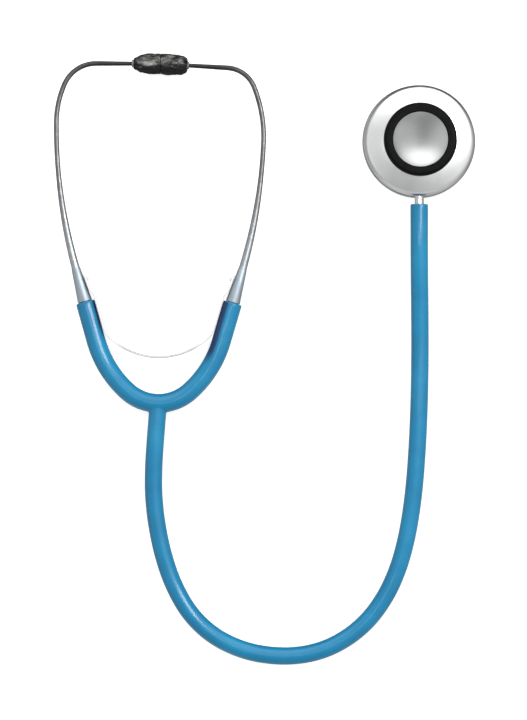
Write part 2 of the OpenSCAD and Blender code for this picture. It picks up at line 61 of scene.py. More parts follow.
SENSOR_MM = 36

# Hose, and its route over the table from the yoke to the stem
HOSE_R = 0.0035
HOSE_BORE_R = 0.0022
HOSE_LIP = 0.0004
BORE_DEPTH = 0.004
HOSE_ROUTE = [
    (-0.10469, -0.11347, 0.0038), (-0.10523, -0.12045, 0.0038), (-0.1058, -0.13, 0.0036),
    (-0.1058, -0.141, 0.0035), (-0.1045, -0.153, 0.0035), (-0.1018, -0.1655, 0.0035),
    (-0.0975, -0.1775, 0.0035), (-0.091, -0.1885, 0.0035), (-0.082, -0.197, 0.0035),
    (-0.071, -0.2025, 0.0035), (-0.0595, -0.205, 0.0035), (-0.048, -0.205, 0.0035),
    (-0.0375, -0.2025, 0.0035), (-0.028, -0.1975, 0.0035), (-0.02, -0.1905, 0.0035),
    (-0.0135, -0.1815, 0.0035), (-0.0088, -0.1715, 0.0035), (-0.0055, -0.1605, 0.0035),
    (-0.0033, -0.149, 0.0035), (-0.0018, -0.137, 0.0035), (-0.0008, -0.124, 0.0035),
    (-0.0001, -0.11, 0.0035), (0.0003, -0.095, 0.0035), (0.0004, -0.08, 0.0037),
    (0.0003, -0.066, 0.0045), (0.0001, -0.053, 0.0058), (0, -0.041, 0.0067), (0, -0.0252, 0.0067),
]

# Headset: its place and turn on the table, and the yoke's arms, with bends as (radius, degrees)
HEADSET_AT = Vector((-0.104, -0.1045, 0))
HEADSET_TURN = math.radians(-0.4)
SIDES = {"left": -1, "right": 1}
ARM_R = 0.0038
ARM_BORE_R = 0.0023
ARM_LIP = 0.0005
ARM_BEND = (0.0186, 42)
ARM_FLARE = (0.043, 32)
ARM_STRAIGHT = 0.016

# Painted shade strip on each arm's inner side: its reach from the mouth, and the facing at which it starts
SHADE_STRIP_REACH = {"left": 0.017, "right": 0.027}
SHADE_STRIP_FADE = 0.006
SHADE_STRIP_FROM = {"left": 0.68, "right": 0.33}
SHADE_STRIP_SOFT = 0.14

# Junction of the yoke: how far it turns up to each arm, its stub, and the melt that rounds its corners
JUNCTION_TURN = 20
STUB_LEN = 0.009
STUB_LEAN = math.radians(4)
MELT_OVER = 0.004
MELT_VOXEL = 0.00022
MELT_EASE = 0.5
MELT_ROUNDS = 26

# Leaf spring: its band, bends and the jog over each arm's mouth, and the dull stretch of its bridge
SPRING_T = 0.0009
SPRING_H = 0.005
SPRING_ROUND = 0.0003
SPRING_OFF = 0.00445
SPRING_BOW_TURN = 42
SPRING_KNEE_R = 0.01
SPRING_LEG = 0.0115
SPRING_TAB = 0.0056
SPRING_END = 0.85
JOG_OVER = 0.001
JOG_R = 0.003
JOG_TURN = 25
JOG_RUN = 0.0019
FERRULE_SLOPE = 4.09
BRIDGE_REACH = 0.0185
BRIDGE_FADE = 0.004

# Ferrule: its cone, the plug in the arm's mouth and the socket for the ear tube
FERRULE_LEN = 0.014
FERRULE_BASE_R = 0.0029
FERRULE_TOP_R = 0.00178
FERRULE_FOOT = 0.0001
FERRULE_ROUND = 0.0003
FERRULE_SOCKET = 0.009
SOCKET_R = 0.0017
SOCKET_SHOWN = 0.001
PLUG_LEN = 0.003
PLUG_R = 0.0022
PLUG_BORE_R = 0.001

# Ear tube: its radius at the foot, in the bow and at the tip, its bends, and where its painted dark
# reflection near the tip and its lighter tone near the ferrule fade
TUBE_R = (0.00165, 0.001, 0.0008)
TUBE_TAPER = 0.038
TUBE_THIN = 0.016
TUBE_BENDS = {
    "left": [(0.21, 16), (0.0395, 23), (0.0137, 67)],
    "right": [(0.21, 14), (0.054, 24), (0.01217, 65)],
}
TIP_REFLECTION_FADE = (0.042, 0.012)
PALE_FADE = (0.046, 0.008)

# Ear tip: its size and place, and its outline from the tube to its face as shares of length and radius
TIP_DIP = {"left": 0, "right": math.radians(3)}
TIP_R = 0.0043
TIP_LEN = 0.01045
TIP_FACE = 0.00025
TIP_BULGE = 0.00018
TIP_CORE = 0.95
SLEEVE_SHOW = 0.0007
TIP_SHARES = {
    "left": [
        (0, 0), (0, 0.3), (0.01, 0.47), (0.05, 0.57), (0.1, 0.64), (0.2, 0.76), (0.32, 0.86), (0.45, 0.94)],
    "right": [
        (0, 0), (0, 0.4), (0.01, 0.58), (0.04, 0.7), (0.1, 0.82), (0.2, 0.91), (0.32, 0.96), (0.45, 0.98)],
}
FACE_SHARES = [(0.6, 0.99), (0.75, 1), (0.9, 1), (0.98, 1), (0.999, 0.992), (1, 0.96), (1, 0.4), (1, 0)]

# Lumps on an ear tip as (height, lumps per metre), drawn out along it, with a fine grain, and where they end
LUMPS = [(0.00032, 520), (0.00028, 1100)]
LUMP_STRETCH = 0.45
TIP_GRAIN = (0.00014, 2300)
LUMP_ROOT = 0.002
LUMP_FACE = (0.0002, 0.0012)

# Painted sheen on the ear tips: a painted highlight pad on the left one, and blotches of painted sheen on
# what faces up and back
PAD_OUT = 0.0042
PAD_DOWN = 0.0002
PAD_SIZE = (0.0028, 0.0009)
PAD_FLAT = 0.8
SHEEN_UP = (0.45, 0.75)
SHEEN_BACK = (-0.22, 0.13)
SHEEN_ROOT = (0.0018, 0.0043)
SHEEN_SHARE = 0.6
SHEEN_LEAST = 0.35
BLOTCHES = 1200
BLOTCH_GAIN = 1.8
BLOTCH_LIFT = 0.4

# Rim: its rounded band, and the lip under the diaphragm
RIM_EDGE_R = 0.0007
RIM_WALL = 0.0011
RIM_LIP = 0.0027
RIM_LIP_H = 0.0009
RIM_LIP_CUT = 0.0002

# Drum: the rounded edge and dome of its top, its clearances, and the stem in its side
DRUM_EDGE_R = 0.0032
DRUM_CUT = 0.0002
DRUM_GAP = 0.0001
RIM_GAP = 0.00005
DOME_R = 0.032
DOME_SLOPE = 24
NECK_R = 0.0128
STEM_R = 0.0018
STEM_GAP = 0.00005
STEM_WALL = 0.00105

# Bell: its soft ring with the mouth inside, and the curved dish
MOUTH_R = 0.0108
BELL_ROUND = 0.0015
BELL_LIP = 0.0005
BELL_FOOT_R = 0.0005
BELL_FOOT_H = 0.0007
BELL_GAP = 0.0001
DISH_COVER = 0.0005
DISH_DEPTH = 0.0042
DISH_T = 0.0006
SEAT_GAP = 0.00005

# Heights on the drum between which its side turns to a painted shadow line, back again, and to the dome
SHADOW_LINE_STARTS = (0.0096, 0.0098)
SHADOW_LINE_ENDS = (0.0112, 0.0119)
DOME_STARTS = (0.0121, 0.0128)

# Fineness of the meshes: sides of round sections, and steps along the tubes
TUBE_SIDES = 40
ARM_SIDES = 48
EAR_TUBE_SIDES = 28
LATHE_SIDES = 192
FERRULE_SIDES = 96
TIP_SIDES = 120
BORE_SIDES = 48
HOSE_STEP = 0.0015
ARM_STEP = 0.0008
SPRING_STEP = 0.0006
TUBE_STEP = 0.0009
TUBE_END_STEP = 0.001
HOSE_SPLINE = 8
TIP_SPLINE = 7
SHARP = 40
JUNCTION_SHARP = 50
LIP_OUT = (0.4, 0.8, 1.2, math.pi / 2)
LIP_IN = (0, 0.5, 1.0, math.pi / 2)
UP = Vector((0, 0, 1))

# Stage: the floor's half width and glow, the sky's strength below and above, and the lamps' aim
FLOOR_SIZE = 3.0
FLOOR_GLOW = 0.64
SKY_LOW = 0.12
SKY_HIGH = 0.64
SKY_RISE = (-0.15, 0.5)
HORIZON = (0, 0.2)
MIDDLE = (-0.062, -0.087, 0)

# Patches of the sky as (direction, where the patch starts and is full as cosines, strength)
SKY_PATCHES = [
    ((0, 0.906, 0.42), 0.6, 0.98, 1.1),
    ((0, 0.98, 0.2), 0.5, 0.75, 0.6),
    ((-0.9, 0, 0.43), 0.6, 0.95, 0.32),
    ((0.8, 0, 0.6), 0.6, 0.95, 0.2),
    ((-0.6, -0.6, 0.53), 0.3, 0.95, -0.19),
    ((-0.8, -0.25, -0.53), 0.25, 0.95, 0.48),
    ((0.85, -0.3, -0.43), 0.5, 0.95, 0.35),
    ((0, -0.9, -0.43), 0.5, 0.95, 0.5),
]


# Lines

def share(value, start, end):
    """How far a value has come from start to end, between 0 and 1."""
    return min(max((value - start) / (end - start), 0), 1)


def spline_point(a, b, c, d, t):
    """Point between b and c of a smooth curve through four points."""
    square = (2 * a - 5 * b + 4 * c - d) * t**2
    cube = (3 * b - a - 3 * c + d) * t**3
    return 0.5 * (2 * b + (c - a) * t + square + cube)


def smooth_line(points, steps):
    """Points of a smooth curve through the given ones."""
    pts = [Vector(p) for p in points]
    pts = [2 * pts[0] - pts[1]] + pts + [2 * pts[-1] - pts[-2]]
    line = []
    for four in zip(pts, pts[1:], pts[2:], pts[3:]):
        line += [spline_point(*four, k / steps) for k in range(steps)]
    return line + [pts[-2]]


def bend(pose, move, part=1):
    """Pose (x, y, heading) after part of a move: (radius, degrees) bends, (0, length) goes straight."""
    x, y, h = pose
    if move[0] == 0:
        return x + math.cos(h) * move[1] * part, y + math.sin(h) * move[1] * part, h
    to = h + math.radians(move[1]) * part
    r = math.copysign(move[0], move[1])
    return x + r * (math.sin(to) - math.sin(h)), y + r * (math.cos(h) - math.cos(to)), to


def walk(pose, moves, step_turn=1.5, step_len=0.002):
    """Poses along a list of moves, the first one included."""
    poses = [pose]
    for move in moves:
        size = step_turn if move[0] else step_len
        steps = max(1, math.ceil(abs(move[1]) / size))
        start = poses[-1]
        poses += [bend(start, move, k / steps) for k in range(1, steps + 1)]
    return poses


def shifted(pose, by):
    """Pose moved sideways, to its left if positive."""
    x, y, h = pose
    return x - math.sin(h) * by, y + math.cos(h) * by, h


def on_table(x, y, z, side=1):
    """Point of the headset's frame in the row frame, mirrored for the left side."""
    return HEADSET_AT + Matrix.Rotation(HEADSET_TURN, 3, "Z") @ Vector((side * x, y, z))


def at_arms(pose, side=1):
    """A pose's point at the height of the arms' middle."""
    return on_table(pose[0], pose[1], ARM_R, side)


class Route:
    """A line through points, with a place and two cross directions at any distance along it."""

    def __init__(self, points):
        self.points = [Vector(p) for p in points]
        self.at = [0.0]
        for a, b in zip(self.points, self.points[1:]):
            self.at.append(self.at[-1] + (b - a).length)
        self.length = self.at[-1]
        ends = [self.points[0]] + self.points + [self.points[-1]]
        self.tangents = [(b - a).normalized() for a, b in zip(ends, ends[2:])]

    def frame(self, s):
        """The point at a distance, the direction to its side, and the one that points up from it."""
        i = min(max(bisect.bisect_right(self.at, s) - 1, 0), len(self.points) - 2)
        t = (s - self.at[i]) / (self.at[i + 1] - self.at[i])
        point = self.points[i].lerp(self.points[i + 1], t)
        tangent = self.tangents[i].lerp(self.tangents[i + 1], min(max(t, 0), 1)).normalized()
        side = tangent.cross(UP).normalized()
        return point, side, side.cross(tangent)


def spread(start, end, step):
    """Distances from start to end, about a step apart."""
    count = max(1, round((end - start) / step))
    return [start + (end - start) * k / count for k in range(count + 1)]


def arc(cx, cy, r, start, end, steps=10):
    """Points of an arc, in degrees."""
    angles = [math.radians(start + (end - start) * k / steps) for k in range(steps + 1)]
    return [(cx + r * math.cos(a), cy + r * math.sin(a)) for a in angles]


# Meshes

def add_object(name, data):
    """A new object in the scene."""
    made = bpy.data.objects.new(name, data)
    bpy.context.scene.collection.objects.link(made)
    return made


def mesh_piece(name, verts, faces, sharp=SHARP):
    """A closed smooth mesh with sharp edges kept."""
    mesh = bpy.data.meshes.new(name)
    mesh.from_pydata(verts, [], faces)
    bm = bmesh.new()
    bm.from_mesh(mesh)
    bmesh.ops.remove_doubles(bm, verts=bm.verts, dist=1e-7)
    bmesh.ops.recalc_face_normals(bm, faces=bm.faces)
    bm.to_mesh(mesh)
    bm.free()
    mesh.shade_smooth()
    mesh.set_sharp_from_angle(angle=math.radians(sharp))
    return add_object(name, mesh)


def evaluated_mesh(piece):
    """A piece's mesh with its modifiers applied."""
    return bpy.data.meshes.new_from_object(piece.evaluated_get(bpy.context.evaluated_depsgraph_get()))


def circle(sides=TUBE_SIDES):
    """A unit circle, as a section."""
    return [(math.cos(2 * math.pi * k / sides), math.sin(2 * math.pi * k / sides)) for k in range(sides)]


def sweep(name, route, stations, section):
    """A section carried along a route: stations are (distance, scale)."""
    n = len(section)
    verts = []
    for s, scale in stations:
        point, side, up = route.frame(s)
        verts += [point + scale * (side * u + up * v) for u, v in section]
    faces = []
    for i in range(len(stations) - 1):
        for k in range(n):
            a, b = i * n + k, i * n + (k + 1) % n
            faces.append((a, b, b + n, a + n))
    last = (len(stations) - 1) * n
    faces += [tuple(range(n)), tuple(range(last, last + n))]
    return mesh_piece(name, verts, faces)


def lathe(name, profile, place=Matrix.Identity(4), sides=LATHE_SIDES, sharp=SHARP):
    """A profile of (radius, height) points turned about Z, then placed.

    The profile starts and ends on the axis, or else joins up.
    """
    verts = []
    for r, z in profile:
        verts += [place @ Vector((r * u, r * v, z)) for u, v in circle(sides)]
    closed = profile[0][0] > 0
    faces = []
    for i in range(len(profile) if closed else len(profile) - 1):
        j = (i + 1) % len(profile)
        for k in range(sides):
            m = (k + 1) % sides
            faces.append((i * sides + k, i * sides + m, j * sides + m, j * sides + k))
    return mesh_piece(name, verts, faces, sharp)


def facing(root, direction, up):
    """Place at a root, with Z along a direction."""
    return Matrix.Translation(root) @ direction.to_track_quat("Z", up).to_matrix().to_4x4()


def tube_mouth(end, outer, bore, lip):
    """Stations that round a tube's end over into its bore."""
    turn = [(end - lip + lip * math.sin(a), outer - lip + lip * math.cos(a)) for a in LIP_OUT]
    back = [(end - lip * (1 - math.cos(a)), bore + lip * (1 - math.sin(a))) for a in LIP_IN]
    return turn + back + [(end - BORE_DEPTH, bore)]


def mark(piece, name, value_at):
    """Gives each point of a piece a number, worked out from its vertex."""
    values = piece.data.attributes.new(name, "FLOAT", "POINT").data
    for value, vert in zip(values, piece.data.vertices):
        value.value = value_at(vert)


# Materials

def shader(made):
    """A material's shader."""
    return made.node_tree.nodes["Principled BSDF"]


def material(name, **constants):
    """A new material, with constants set on the shader's own sockets."""
    made = bpy.data.materials.new(name)
    made.use_nodes = True
    for socket, value in constants.items():
        shader(made).inputs[socket.replace("_", " ")].default_value = value
    return made


def node(made, kind, inputs=(), **settings):
    """A node of a material, with its inputs set to values or linked to outputs."""
    new = made.node_tree.nodes.new(kind)
    for key, value in settings.items():
        setattr(new, key, value)
    for socket, value in dict(inputs).items():
        if isinstance(value, bpy.types.NodeSocket):
            made.node_tree.links.new(value, new.inputs[socket])
        else:
            new.inputs[socket].default_value = value
    return new


def wire(made, socket, output):
    """Links an output to one of the shader's sockets."""
    made.node_tree.links.new(output, shader(made).inputs[socket])


def object_place(made):
    """The object's own coordinates."""
    return node(made, "ShaderNodeTexCoord").outputs["Object"]


def grain(made, scale, detail, stretch=(1, 1, 1)):
    """Noise over the object's own coordinates, with scale in features per metre."""
    mapped = node(made, "ShaderNodeMapping", {"Vector": object_place(made), "Scale": stretch})
    inputs = {"Vector": mapped.outputs["Vector"], "Scale": scale, "Detail": detail}
    return node(made, "ShaderNodeTexNoise", inputs).outputs["Fac"]


def turned(made, scale, detail=2):
    """Noise that runs in rings about Z, as lathe marks do."""
    flat = node(made, "ShaderNodeVectorMath", {0: object_place(made), 1: (1, 1, 0)}, operation="MULTIPLY")
    radius = node(made, "ShaderNodeVectorMath", {0: flat.outputs["Vector"]}, operation="LENGTH")
    inputs = {"W": radius.outputs["Value"], "Scale": scale, "Detail": detail}
    return node(made, "ShaderNodeTexNoise", inputs, noise_dimensions="1D").outputs["Fac"]


def ramp(made, field, stops):
    """Colours along a field: stops are (place, colour)."""
    new = node(made, "ShaderNodeValToRGB", {"Fac": field})
    band = new.color_ramp
    while len(band.elements) < len(stops):
        band.elements.new(0.5)
    for element, (at, colour) in zip(band.elements, stops):
        element.position = at
        element.color = (*colour, 1)
    return new.outputs["Color"]


def tone(made, field, dark, light):
    """A colour between a dark and a light one, as a noise field has it."""
    return ramp(made, field, [(0.3, dark), (0.7, light)])


def between(made, field, low, high, start=0.3, end=0.7):
    """A number from low to high as a field goes from start to end."""
    limits = {"Value": field, "From Min": start, "From Max": end, "To Min": low, "To Max": high}
    return node(made, "ShaderNodeMapRange", limits, interpolation_type="SMOOTHSTEP").outputs["Result"]


def bump(made, field, height, under=None):
    """Fine relief from a field, over another relief if there is one."""
    inputs = {"Height": field, "Distance": height, "Strength": 1.0}
    if under is not None:
        inputs["Normal"] = under
    relief = node(made, "ShaderNodeBump", inputs).outputs["Normal"]
    wire(made, "Normal", relief)
    return relief


def mix(made, part, first, second):
    """A colour between two others."""
    return node(made, "ShaderNodeMix", {0: part, 6: first, 7: second}, data_type="RGBA").outputs[2]


def attribute(made, name):
    """A number that a mesh carries at each point."""
    return node(made, "ShaderNodeAttribute", attribute_name=name).outputs["Fac"]


def blue_vinyl():
    """Glossy blue, with a painted shade strip of navy on each arm's inner side near its mouth."""
    made = material("blue_vinyl", Specular_IOR_Level=0.2, Coat_Weight=0.45, Coat_Roughness=0.13)
    cloud = grain(made, 70, 4)
    stops = [(0.25, (0.002, 0.146, 0.292)), (0.5, (0.003, 0.171, 0.328)), (0.75, (0.006, 0.199, 0.364))]
    blue = ramp(made, cloud, stops)
    shade_navy = tone(made, cloud, (0.0, 0.022, 0.08), (0.0, 0.032, 0.11))
    # Painted shade: navy laid on the arms' inner sides near their mouths
    wire(made, "Base Color", mix(made, attribute(made, "painted_shade"), blue, shade_navy))
    wire(made, "Roughness", between(made, grain(made, 900, 4), 0.30, 0.46))
    bump(made, grain(made, 2600, 2), 0.00002, bump(made, grain(made, 260, 3), 0.00006))
    return made


def turned_metal(name, rough, marks, tones=None, **constants):
    """Metal with lathe marks and a satin polish, smudged between two tones if they are given."""
    made = material(name, Metallic=1.0, **constants)
    if tones:
        wire(made, "Base Color", tone(made, grain(made, 160, 4), *tones))
    wire(made, "Roughness", between(made, grain(made, 110, 2), *rough))
    bump(made, turned(made, 2600), marks)
    return made


def chest_metal():
    """Bright turned dome, with a duller edge below it and a painted shadow line round that."""
    made = turned_metal("chest_metal", (0.27, 0.31), 0.0000006)
    cloud = grain(made, 160, 4)
    dome = tone(made, cloud, (0.78, 0.79, 0.795), (0.84, 0.85, 0.85))
    edge = tone(made, cloud, (0.76, 0.76, 0.765), (0.82, 0.82, 0.825))
    # Painted shadow line round the drum's side, below the dome
    line = tone(made, cloud, (0.5, 0.5, 0.504), (0.56, 0.56, 0.564))
    height = node(made, "ShaderNodeSeparateXYZ", {"Vector": object_place(made)}).outputs["Z"]
    side = mix(made, between(made, height, 0, 1, *SHADOW_LINE_STARTS), edge, line)
    band = mix(made, between(made, height, 0, 1, *SHADOW_LINE_ENDS), side, edge)
    wire(made, "Base Color", mix(made, between(made, height, 0, 1, *DOME_STARTS), band, dome))
    return made


def dish_metal():
    """Dull turned metal, whose rings draw highlights out into spokes."""
    tones = ((0.49, 0.505, 0.495), (0.54, 0.555, 0.545))
    made = turned_metal("dish_metal", (0.3, 0.38), 0.000001, tones, Anisotropic=0.4)
    radial = node(made, "ShaderNodeTangent", direction_type="RADIAL", axis="Z")
    wire(made, "Tangent", radial.outputs["Tangent"])
    return made


def rim_metal():
    """Dark turned metal."""
    return turned_metal("rim_metal", (0.24, 0.34), 0.0000006, ((0.3, 0.3, 0.305), (0.38, 0.38, 0.385)))


def drawn_metal(name, rough, tones=None, metallic=1.0):
    """Metal with fine scratches along its length, streaked between two tones if they are given."""
    made = material(name, Metallic=metallic)
    if tones:
        wire(made, "Base Color", tone(made, grain(made, 300, 4, (1, 0.12, 1)), *tones))
    wire(made, "Roughness", between(made, grain(made, 1500, 4, (1, 0.08, 1)), *rough))
    bump(made, grain(made, 4000, 2, (1, 0.05, 1)), 0.000006)
    return made


def spring_steel():
    """Spring band, dull along its bridge and brighter elsewhere."""
    made = drawn_metal("spring_steel", (0.56, 0.66), metallic=0.2)
    cloud = grain(made, 300, 4, (1, 0.12, 1))
    dull = tone(made, cloud, (0.46, 0.465, 0.47), (0.54, 0.545, 0.55))
    bright = tone(made, cloud, (0.68, 0.685, 0.69), (0.75, 0.755, 0.76))
    wire(made, "Base Color", mix(made, attribute(made, "bridge"), bright, dull))
    return made


def tube_steel():
    """Ear tube metal, with a painted dark reflection near the ear tip, and lighter near the ferrule."""
    made = drawn_metal("tube_steel", (0.3, 0.44))
    streak = grain(made, 420, 4, (0.2, 1, 1))
    steel = tone(made, streak, (0.14, 0.137, 0.14), (0.2, 0.197, 0.2))
    # Painted dark reflection: the tube darkened towards the ear tip
    painted_dark_reflection = tone(made, streak, (0.026, 0.026, 0.027), (0.055, 0.054, 0.054))
    pale = tone(made, streak, (0.35, 0.38, 0.4), (0.44, 0.47, 0.49))
    near_tip = mix(made, attribute(made, "to_tip"), steel, painted_dark_reflection)
    wire(made, "Base Color", mix(made, attribute(made, "to_ferrule"), near_tip, pale))
    return made


def rubber(name, rough, pebble, tones=None):
    """Dull pebbled rubber, mottled between two tones if they are given."""
    made = material(name, Specular_IOR_Level=0.07)
    if tones:
        wire(made, "Base Color", tone(made, grain(made, 500, 5), *tones))
    wire(made, "Roughness", between(made, grain(made, 1300, 4), *rough))
    bump(made, grain(made, 3800, 3), pebble / 3, bump(made, grain(made, 1100, 4), pebble))
    return made


def black_rubber():
    """Smooth black rubber."""
    return rubber("black_rubber", (0.42, 0.56), 0.00001, ((0.002, 0.002, 0.0022), (0.004, 0.004, 0.0042)))


def tip_rubber():
    """Rough black rubber, greyed by painted sheen and a painted highlight."""
    made = rubber("tip_rubber", (0.42, 0.7), 0.00015)
    patch = grain(made, 1300, 5)
    black = tone(made, patch, (0.006, 0.006, 0.006), (0.02, 0.02, 0.019))
    # Grey is painted sheen and painted highlight, laid where the mesh marks it
    grey = tone(made, patch, (0.1, 0.1, 0.096), (0.38, 0.38, 0.365))
    wire(made, "Base Color", mix(made, attribute(made, "painted_sheen"), black, grey))
    return made


def plastic(name, rough, tones, **constants):
    """Moulded plastic with a fine texture, clouded between two tones."""
    made = material(name, **constants)
    wire(made, "Base Color", tone(made, grain(made, 240, 4), *tones))
    wire(made, "Roughness", between(made, grain(made, 1200, 3), *rough))
    bump(made, grain(made, 3000, 2), 0.00001)
    return made


def diaphragm_plastic():
    """Pale glossy plastic."""
    tones = ((0.56, 0.57, 0.56), (0.64, 0.65, 0.64))
    return plastic("diaphragm_plastic", (0.25, 0.4), tones, Coat_Weight=0.3)


LOOKS = {
    "blue_vinyl": blue_vinyl(),
    "chest_metal": chest_metal(),
    "dish_metal": dish_metal(),
    "rim_metal": rim_metal(),
    "stem_metal": drawn_metal("stem_metal", (0.18, 0.3), ((0.56, 0.56, 0.57), (0.66, 0.66, 0.67))),
    "clip_steel": drawn_metal("clip_steel", (0.3, 0.4), ((0.36, 0.36, 0.38), (0.48, 0.48, 0.5))),
    "spring_steel": spring_steel(),
    "ferrule_metal": drawn_metal("ferrule_metal", (0.46, 0.56), ((0.31, 0.36, 0.4), (0.39, 0.45, 0.49))),
    "tube_steel": tube_steel(),
    "black_rubber": black_rubber(),
    "tip_rubber": tip_rubber(),
    "sleeve_plastic": plastic("sleeve_plastic", (0.3, 0.45), ((0.11, 0.11, 0.11), (0.17, 0.17, 0.17))),
    "diaphragm_plastic": diaphragm_plastic(),
}


def dress(piece, look, *replaced):
    """Gives a new piece its material, and hides the nodes that it stands for."""
    piece.data.materials.append(LOOKS[look])
    if replaced:
        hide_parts(*replaced)
    return piece


# Camera

def make_camera():
    """A camera that looks straight down at the middle of the photo's frame."""
    data = bpy.data.cameras.new("camera")
    data.sensor_width = SENSOR_MM
    data.lens = SENSOR_MM * CAMERA_H / (PHOTO_H * PIXEL)
    camera = add_object("camera", data)
    middle = ((PHOTO_W / 2 - CHEST_PIXEL[0]) * PIXEL, (CHEST_PIXEL[1] - PHOTO_H / 2) * PIXEL)
    camera.location = (*middle, CAMERA_H)
    bpy.context.scene.camera = camera


make_camera()


# Hose

def make_hose():
    """The hose, from the yoke's stub to the stem, with an open mouth there."""
    line = smooth_line(HOSE_ROUTE, HOSE_SPLINE)
    route = Route(line)
    body = [(s, HOSE_R) for s in spread(0, route.length - HOSE_LIP, HOSE_STEP)]
    stations = body + tube_mouth(route.length, HOSE_R, HOSE_BORE_R, HOSE_LIP)
    hose = dress(sweep("hose_tube", route, stations, circle()), "blue_vinyl", "hose")
    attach(hose, "yoke")


make_hose()


# Yoke

ARM_START = bend((0, 0, 0), (ARM_BEND[0], JUNCTION_TURN))
ARM_MOVES = [(ARM_BEND[0], ARM_BEND[1] - JUNCTION_TURN), ARM_FLARE, (0, ARM_STRAIGHT)]
ARM_POSES = walk(ARM_START, ARM_MOVES)
ARM_MOUTH = ARM_POSES[-1]


def make_arm(name, side):
    """One arm of the yoke, which bends between the junction and its ear tube."""
    route = Route([at_arms(pose, side) for pose in ARM_POSES])
    body = [(s, ARM_R) for s in spread(0, route.length - ARM_LIP, ARM_STEP)]
    stations = body + tube_mouth(route.length, ARM_R, ARM_BORE_R, ARM_LIP)
    tube = sweep(f"{name}_arm_tube", route, stations, circle(ARM_SIDES))
    arm = dress(tube, "blue_vinyl", f"{name}_yoke_arm")
    mouth = at_arms(ARM_MOUTH, side)
    inward = (at_arms(shifted(ARM_MOUTH, ARM_R), side) - mouth).normalized()
    reach = SHADE_STRIP_REACH[name]
    start = SHADE_STRIP_FROM[name]

    # Painted shade: the inner side near the mouth, which faces away from the light, is marked for navy
    def painted_shade(vert):
        near = share((vert.co - mouth).length, reach, reach - SHADE_STRIP_FADE)
        return near * share(vert.normal.dot(inward), start, start + SHADE_STRIP_SOFT)

    mark(arm, "painted_shade", painted_shade)
    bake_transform(arm)


def joined(name, parts):
    """One object from several, which it uses up."""
    mesh = bpy.data.meshes.new(name)
    bm = bmesh.new()
    for part in parts:
        bm.from_mesh(part.data)
        bpy.data.objects.remove(part)
    bm.to_mesh(mesh)
    bm.free()
    return add_object(name, mesh)


def melted(body):
    """A body's mesh with its parts melted together, and the body used up."""
    melt = body.modifiers.new("melt", "REMESH")
    melt.mode = "VOXEL"
    melt.voxel_size = MELT_VOXEL
    ease = body.modifiers.new("ease", "SMOOTH")
    ease.factor = MELT_EASE
    ease.iterations = MELT_ROUNDS
    mesh = evaluated_mesh(body)
    bpy.data.objects.remove(body)
    return mesh


def cut_off(mesh, cuts):
    """Cuts a mesh at planes, each a point and the direction of what goes, and closes it again."""
    bm = bmesh.new()
    bm.from_mesh(mesh)
    for at, out in cuts:
        geometry = bm.verts[:] + bm.edges[:] + bm.faces[:]
        cut = bmesh.ops.bisect_plane(bm, geom=geometry, plane_co=at, plane_no=out, clear_outer=True)
        rim = [e for e in cut["geom_cut"] if isinstance(e, bmesh.types.BMEdge)]
        bmesh.ops.edgenet_fill(bm, edges=rim)
    bmesh.ops.recalc_face_normals(bm, faces=bm.faces)
    bm.to_mesh(mesh)
    bm.free()


def make_junction():
    """The middle of the yoke: a bar and a stub, melted together and cut off square."""
    over_turn = JUNCTION_TURN + math.degrees(MELT_OVER / ARM_BEND[0])
    right = walk((0, 0, 0), [(ARM_BEND[0], over_turn)])
    left = [(-x, y, h) for x, y, h in reversed(right[1:])]
    bar = Route([at_arms(pose) for pose in left + right])
    down = Vector((-math.sin(STUB_LEAN), -math.cos(STUB_LEAN), 0))
    stub = Route([at_arms(down * s) for s in (0, STUB_LEN + MELT_OVER)])
    bar_stations = [(s, ARM_R) for s in spread(0, bar.length, ARM_STEP)]
    stub_stations = [(s, HOSE_R) for s in spread(0, stub.length, ARM_STEP)]
    mesh = melted(joined("junction", [
        sweep("junction_bar", bar, bar_stations, circle(ARM_SIDES)),
        sweep("junction_stub", stub, stub_stations, circle(ARM_SIDES)),
    ]))
    turn = Matrix.Rotation(HEADSET_TURN, 3, "Z")
    heading = math.radians(JUNCTION_TURN)
    cuts = [(at_arms(down * STUB_LEN), turn @ down)]
    for side in SIDES.values():
        along = Vector((side * math.cos(heading), math.sin(heading), 0))
        cuts.append((at_arms(ARM_START, side), turn @ along))
    cut_off(mesh, cuts)
    mesh.shade_smooth()
    mesh.set_sharp_from_angle(angle=math.radians(JUNCTION_SHARP))
    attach(dress(add_object("junction_body", mesh), "blue_vinyl", "yoke_junction"), "yoke")


# Leaf spring

def spring_section():
    """The spring's band in section, thin across and tall, with rounded edges."""
    w, h, r = SPRING_T / 2, SPRING_H / 2, SPRING_ROUND
    corners = [(w - r, h - r, 0), (r - w, h - r, 90), (r - w, r - h, 180), (w - r, r - h, 270)]
    return [p for x, y, a in corners for p in arc(x, y, r, a, a + 90, steps=4)]


